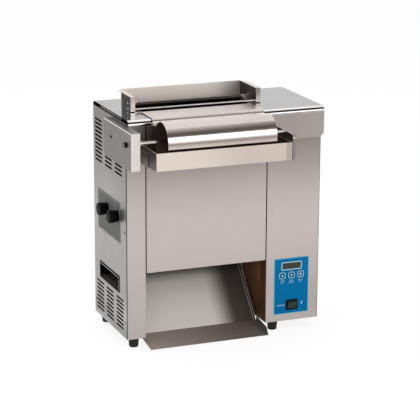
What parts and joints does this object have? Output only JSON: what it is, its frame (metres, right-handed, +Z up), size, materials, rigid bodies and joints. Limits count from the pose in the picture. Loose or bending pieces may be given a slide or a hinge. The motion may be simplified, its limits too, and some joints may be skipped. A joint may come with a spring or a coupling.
{
  "type": "vertical toaster",
  "caption": "Upright contact bun toaster in stainless sheet with a top feeder, butter roller and tray, side knobs, keypad and a pull-out chute.",
  "frame": {"origin": "on the counter under the middle of the outline, at the underside of the feet", "axes": "+X to the user's right, +Y to the back, +Z up"},
  "size_m": [0.613, 0.433, 0.6926],
  "materials": {
    "satin_steel": "satin stainless sheet",
    "polished_steel": "polished stainless",
    "inner_steel": "plain mill finish",
    "chain_steel": "oiled",
    "bush_plastic": "matte",
    "plate_grey": "matte grey",
    "black_plastic": "fine matte",
    "overlay_film": "printed film",
    "display_lens": "dark lens",
    "key_film": "printed film",
    "foot_rubber": "matte",
    "platen_aluminium": "cast and machined",
    "belt_rubber": "heat-proof belt",
    "gear_brass": "cut",
    "motor_paint": "satin",
    "board_green": "solder mask"
  },
  "bodies": {
    "cabinet": {"left_side_panel": "satin_steel", "left_front_column": "satin_steel", "front_panel": "satin_steel", "right_front_column": "satin_steel", "right_side_panel": "satin_steel", "right_apron": "satin_steel", "feeder_back_wall": "satin_steel", "feeder_left_wall": "satin_steel", "feeder_right_wall": "satin_steel", "drive_box_cover": "satin_steel", "drive_box_plate": "satin_steel", "roller_bracket": "satin_steel", "tray_bracket": "satin_steel", "butter_tray": "satin_steel", "rear_cover": "satin_steel", "top_cover": "polished_steel", "landing_plate": "polished_steel", "feeder_front_rod": "polished_steel", "lane_divider": "polished_steel", "base_pan": "inner_steel", "left_inner_wall": "inner_steel", "right_inner_wall": "inner_steel", "chute_rests": "inner_steel", "platen_heaters": "inner_steel", "roller_chain": "chain_steel", "shaft_bushes": "bush_plastic", "knob_plate": "plate_grey", "left_handle_cup": "black_plastic", "right_handle_cup": "black_plastic", "rocker_bezel": "black_plastic", "fan_housing": "black_plastic", "cord_gland": "black_plastic", "control_overlay": "overlay_film", "display_window": "display_lens", "feet": "foot_rubber", "platen": "platen_aluminium", "gearmotor": "motor_paint", "control_board": "board_green"},
    "roller": {"roller_tube": "polished_steel", "roller_shaft": "polished_steel"},
    "front_drive": {"front_drive_shaft": "inner_steel"},
    "rear_drive": {"rear_drive_shaft": "inner_steel"},
    "motor_pinion": {"motor_gear": "gear_brass"},
    "idler_wheel": {"idler_gear": "gear_brass"},
    "front_conveyor": {"front_conveyor_frame": "inner_steel", "front_belt": "belt_rubber"},
    "rear_conveyor": {"rear_conveyor_frame": "inner_steel", "rear_belt": "belt_rubber"},
    "front_lower_drum": {"front_idler": "inner_steel"},
    "rear_lower_drum": {"rear_idler": "inner_steel"},
    "front_knob_body": {"front_knob": "black_plastic", "front_cam_spindle": "inner_steel"},
    "rear_knob_body": {"rear_knob": "black_plastic", "rear_cam_spindle": "inner_steel"},
    "up_button": {"up_key": "key_film"},
    "down_button": {"down_key": "key_film"},
    "set_button": {"set_key": "key_film"},
    "rocker": {"power_rocker": "black_plastic"},
    "fan": {"fan_rotor": "black_plastic"},
    "chute": {"bun_chute": "satin_steel"}
  },
  "joints": [
    {"name": "roller_spin", "type": "hinge", "parent": "cabinet", "child": "roller", "pos_m": [0, -0.1545, 0.6], "axis": [1, 0, 0], "continuous": true},
    {"name": "front_drive_spin", "type": "hinge", "parent": "cabinet", "child": "front_drive", "pos_m": [0, -0.0015, 0.586], "axis": [1, 0, 0], "continuous": true},
    {"name": "rear_drive_spin", "type": "hinge", "parent": "cabinet", "child": "rear_drive", "pos_m": [0, 0.1305, 0.586], "axis": [1, 0, 0], "continuous": true},
    {"name": "motor_pinion_spin", "type": "hinge", "parent": "cabinet", "child": "motor_pinion", "pos_m": [0, 0.0425, 0.586], "axis": [1, 0, 0], "continuous": true},
    {"name": "idler_wheel_spin", "type": "hinge", "parent": "cabinet", "child": "idler_wheel", "pos_m": [0, 0.0865, 0.586], "axis": [1, 0, 0], "continuous": true},
    {"name": "front_conveyor_swing", "type": "hinge", "parent": "cabinet", "child": "front_conveyor", "pos_m": [0, -0.0015, 0.586], "axis": [1, 0, 0], "range_deg": [0, 2.06]},
    {"name": "rear_conveyor_swing", "type": "hinge", "parent": "cabinet", "child": "rear_conveyor", "pos_m": [0, 0.1305, 0.586], "axis": [-1, 0, 0], "range_deg": [0, 2.06]},
    {"name": "front_lower_drum_spin", "type": "hinge", "parent": "front_conveyor", "child": "front_lower_drum", "pos_m": [0, -0.0015, 0.261], "axis": [1, 0, 0], "continuous": true},
    {"name": "rear_lower_drum_spin", "type": "hinge", "parent": "rear_conveyor", "child": "rear_lower_drum", "pos_m": [0, 0.1305, 0.261], "axis": [1, 0, 0], "continuous": true},
    {"name": "front_knob_turn", "type": "hinge", "parent": "cabinet", "child": "front_knob_body", "pos_m": [-0.2855, -0.003, 0.364], "axis": [1, 0, 0], "range_deg": [0, 270]},
    {"name": "rear_knob_turn", "type": "hinge", "parent": "cabinet", "child": "rear_knob_body", "pos_m": [-0.2855, 0.0855, 0.364], "axis": [1, 0, 0], "range_deg": [0, 270]},
    {"name": "up_press", "type": "slide", "parent": "cabinet", "child": "up_button", "axis": [0, 1, 0], "range_m": [0, 0.0005], "stiffness_N_per_m": 400},
    {"name": "down_press", "type": "slide", "parent": "cabinet", "child": "down_button", "axis": [0, 1, 0], "range_m": [0, 0.0005], "stiffness_N_per_m": 400},
    {"name": "set_press", "type": "slide", "parent": "cabinet", "child": "set_button", "axis": [0, 1, 0], "range_m": [0, 0.0005], "stiffness_N_per_m": 400},
    {"name": "rocker_tip", "type": "hinge", "parent": "cabinet", "child": "rocker", "pos_m": [0.2245, -0.0731, 0.0725], "axis": [1, 0, 0], "range_deg": [-16, 0]},
    {"name": "fan_spin", "type": "hinge", "parent": "cabinet", "child": "fan", "pos_m": [0.22485, 0.1895, 0.356], "axis": [0, 1, 0], "continuous": true},
    {"name": "chute_pull", "type": "slide", "parent": "cabinet", "child": "chute", "axis": [0, -1, 0], "range_m": [0, 0.2]}
  ],
  "couplings": [
    {"joint": "front_drive_spin", "follows": "roller_spin", "ratio": 1.3333},
    {"joint": "motor_pinion_spin", "follows": "roller_spin", "ratio": -1.3333},
    {"joint": "idler_wheel_spin", "follows": "roller_spin", "ratio": 1.3333},
    {"joint": "rear_drive_spin", "follows": "roller_spin", "ratio": -1.3333},
    {"joint": "front_lower_drum_spin", "follows": "roller_spin", "ratio": 1.3333},
    {"joint": "rear_lower_drum_spin", "follows": "roller_spin", "ratio": -1.3333},
    {"joint": "front_knob_turn", "follows": "front_conveyor_swing", "ratio": 131},
    {"joint": "rear_knob_turn", "follows": "rear_conveyor_swing", "ratio": 131}
  ]
}
